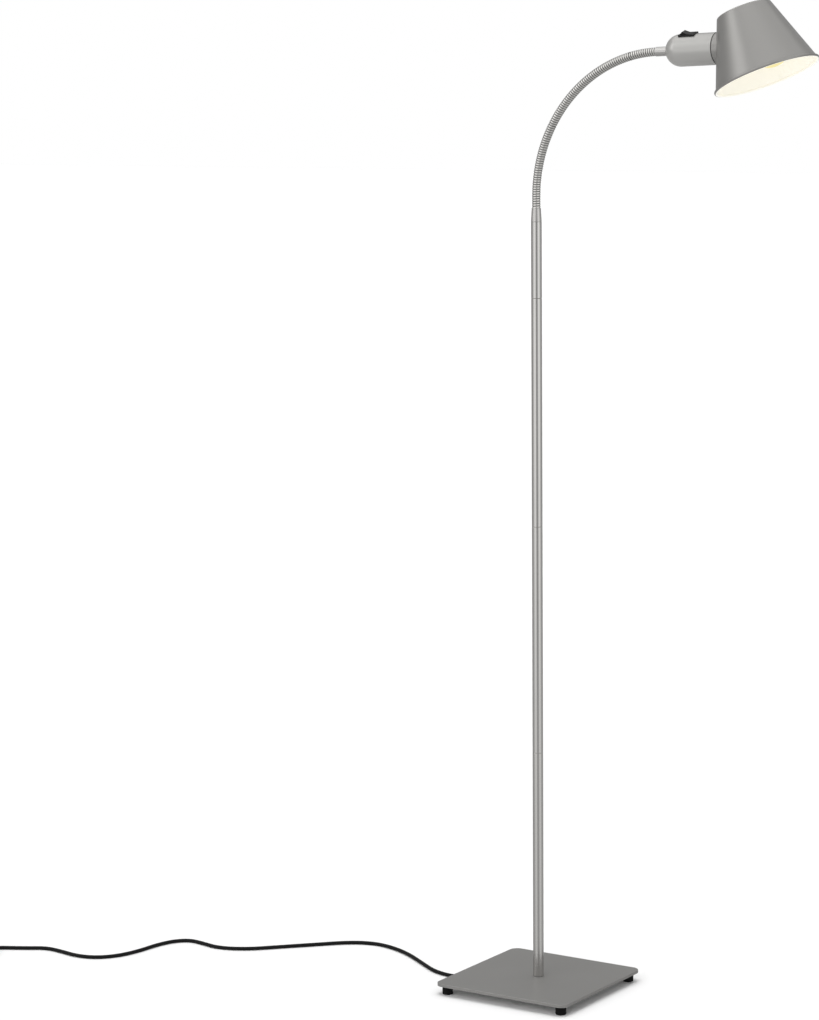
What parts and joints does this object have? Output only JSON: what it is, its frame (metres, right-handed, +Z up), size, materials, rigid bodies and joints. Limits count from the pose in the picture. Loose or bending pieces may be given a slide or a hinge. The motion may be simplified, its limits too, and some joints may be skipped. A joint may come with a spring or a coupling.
{
  "type": "gooseneck reading floor lamp",
  "caption": "Floor lamp with a thin straight pole on a square plate, a bendable gooseneck, a round housing with a rocker switch and a flared metal shade over a bulb.",
  "frame": {"origin": "on the pole's axis, at the height of the floor that the four feet stand on", "axes": "+Z up along the pole, +X the way the gooseneck leans out over the reader, +Y to the left of that"},
  "size_m": [1.2929, 0.4177, 1.2969],
  "materials": {
    "plate": "satin",
    "foot": "matte",
    "screw": "zinc plated",
    "hardware": "zinc plated",
    "bush": "matte",
    "tube": "satin nickel",
    "gooseneck": "satin nickel",
    "ferrule": "satin nickel",
    "housing": "satin silver grey",
    "black_plastic": "gloss",
    "holder": "matte",
    "brass": "plain",
    "wire": "matte",
    "glass": "opal warm white",
    "cap": "plain",
    "shade": "satin outside, matt white inside",
    "cord": "matte"
  },
  "bodies": {
    "stand": {"base_plate": "plate", "foot_1": "foot", "foot_2": "foot", "foot_3": "foot", "foot_4": "foot", "foot_screws": "screw", "base_washer": "hardware", "base_nut": "hardware", "base_nipple": "hardware", "cord_bush": "bush", "lower_tube": "tube", "middle_tube": "tube", "upper_tube": "tube", "neck_tube": "tube", "tube_inserts": "hardware", "seam_nipples": "hardware", "neck_reducer": "ferrule", "neck_link_00": "gooseneck", "lamp_lead": "cord", "mains_cord": "cord", "cord_coil": "cord", "cord_tail": "cord", "plug_relief": "cord", "plug_body": "black_plastic", "plug_pins": "brass", "plug_sleeves": "black_plastic"},
    "neck_1": {"neck_link_01": "gooseneck"},
    "neck_2": {"neck_link_02": "gooseneck"},
    "neck_3": {"neck_link_03": "gooseneck"},
    "neck_4": {"neck_link_04": "gooseneck"},
    "neck_5": {"neck_link_05": "gooseneck"},
    "neck_6": {"neck_link_06": "gooseneck"},
    "neck_7": {"neck_link_07": "gooseneck"},
    "neck_8": {"neck_link_08": "gooseneck"},
    "neck_9": {"neck_link_09": "gooseneck"},
    "neck_10": {"neck_link_10": "gooseneck"},
    "neck_11": {"neck_link_11": "gooseneck"},
    "head": {"neck_link_12": "gooseneck", "neck_ferrule": "ferrule", "neck_lock_nut": "hardware", "lamp_housing": "housing", "switch_body": "black_plastic", "switch_terminals": "brass", "housing_wires": "wire", "front_cap": "holder", "lampholder": "holder", "screw_shell": "brass", "centre_contact": "brass", "bulb_cap": "cap", "bulb_contact": "brass", "bulb_glass": "glass", "shade_ring": "holder"},
    "shade": {"shade": "shade"},
    "rocker": {"switch_rocker": "black_plastic"}
  },
  "joints": [
    {"name": "neck_bend_1", "type": "hinge", "parent": "stand", "child": "neck_1", "pos_m": [0, 0, 1.046], "axis": [0, 1, 0], "range_deg": [-14.5, 14.5], "deforming": ["lamp_lead"]},
    {"name": "neck_sway_1", "type": "hinge", "parent": "neck_1", "child": "neck_2", "pos_m": [0.00136, 0, 1.07095], "axis": [0.9927, 0, -0.121], "range_deg": [-14.5, 14.5]},
    {"name": "neck_bend_2", "type": "hinge", "parent": "neck_2", "child": "neck_3", "pos_m": [0.00605, 0, 1.09548], "axis": [0, 1, 0], "range_deg": [-14.5, 14.5]},
    {"name": "neck_sway_2", "type": "hinge", "parent": "neck_3", "child": "neck_4", "pos_m": [0.01398, 0, 1.11917], "axis": [0.9246, 0, -0.3808], "range_deg": [-14.5, 14.5]},
    {"name": "neck_bend_3", "type": "hinge", "parent": "neck_4", "child": "neck_5", "pos_m": [0.02503, 0, 1.14158], "axis": [0, 1, 0], "range_deg": [-14.5, 14.5]},
    {"name": "neck_sway_3", "type": "hinge", "parent": "neck_5", "child": "neck_6", "pos_m": [0.03899, 0, 1.16229], "axis": [0.7899, 0, -0.6132], "range_deg": [-14.5, 14.5]},
    {"name": "neck_bend_4", "type": "hinge", "parent": "neck_6", "child": "neck_7", "pos_m": [0.0556, 0, 1.18095], "axis": [0, 1, 0], "range_deg": [-14.5, 14.5]},
    {"name": "neck_sway_4", "type": "hinge", "parent": "neck_7", "child": "neck_8", "pos_m": [0.07457, 0, 1.19721], "axis": [0.5981, 0, -0.8014], "range_deg": [-14.5, 14.5]},
    {"name": "neck_bend_5", "type": "hinge", "parent": "neck_8", "child": "neck_9", "pos_m": [0.09555, 0, 1.21077], "axis": [0, 1, 0], "range_deg": [-14.5, 14.5]},
    {"name": "neck_sway_5", "type": "hinge", "parent": "neck_9", "child": "neck_10", "pos_m": [0.11816, 0, 1.22139], "axis": [0.3632, 0, -0.9317], "range_deg": [-14.5, 14.5]},
    {"name": "neck_bend_6", "type": "hinge", "parent": "neck_10", "child": "neck_11", "pos_m": [0.14199, 0, 1.22887], "axis": [0, 1, 0], "range_deg": [-14.5, 14.5]},
    {"name": "neck_sway_6", "type": "hinge", "parent": "neck_11", "child": "head", "pos_m": [0.16662, 0, 1.23309], "axis": [0.1021, 0, -0.9948], "range_deg": [-14.5, 14.5]},
    {"name": "shade_swivel", "type": "hinge", "parent": "head", "child": "shade", "pos_m": [0.26893, 0, 1.23708], "axis": [0.9994, 0, 0.0349], "range_deg": [-170, 170]},
    {"name": "switch_rocker", "type": "hinge", "parent": "head", "child": "rocker", "pos_m": [0.22807, -0.00544, 1.25241], "axis": [0.0108, -0.9511, -0.3088], "range_deg": [0, 24]}
  ],
  "couplings": [
    {"joint": "neck_bend_2", "follows": "neck_bend_1", "ratio": 1},
    {"joint": "neck_sway_2", "follows": "neck_sway_1", "ratio": 1},
    {"joint": "neck_bend_3", "follows": "neck_bend_1", "ratio": 1},
    {"joint": "neck_sway_3", "follows": "neck_sway_1", "ratio": 1},
    {"joint": "neck_bend_4", "follows": "neck_bend_1", "ratio": 1},
    {"joint": "neck_sway_4", "follows": "neck_sway_1", "ratio": 1},
    {"joint": "neck_bend_5", "follows": "neck_bend_1", "ratio": 1},
    {"joint": "neck_sway_5", "follows": "neck_sway_1", "ratio": 1},
    {"joint": "neck_bend_6", "follows": "neck_bend_1", "ratio": 1},
    {"joint": "neck_sway_6", "follows": "neck_sway_1", "ratio": 1}
  ]
}
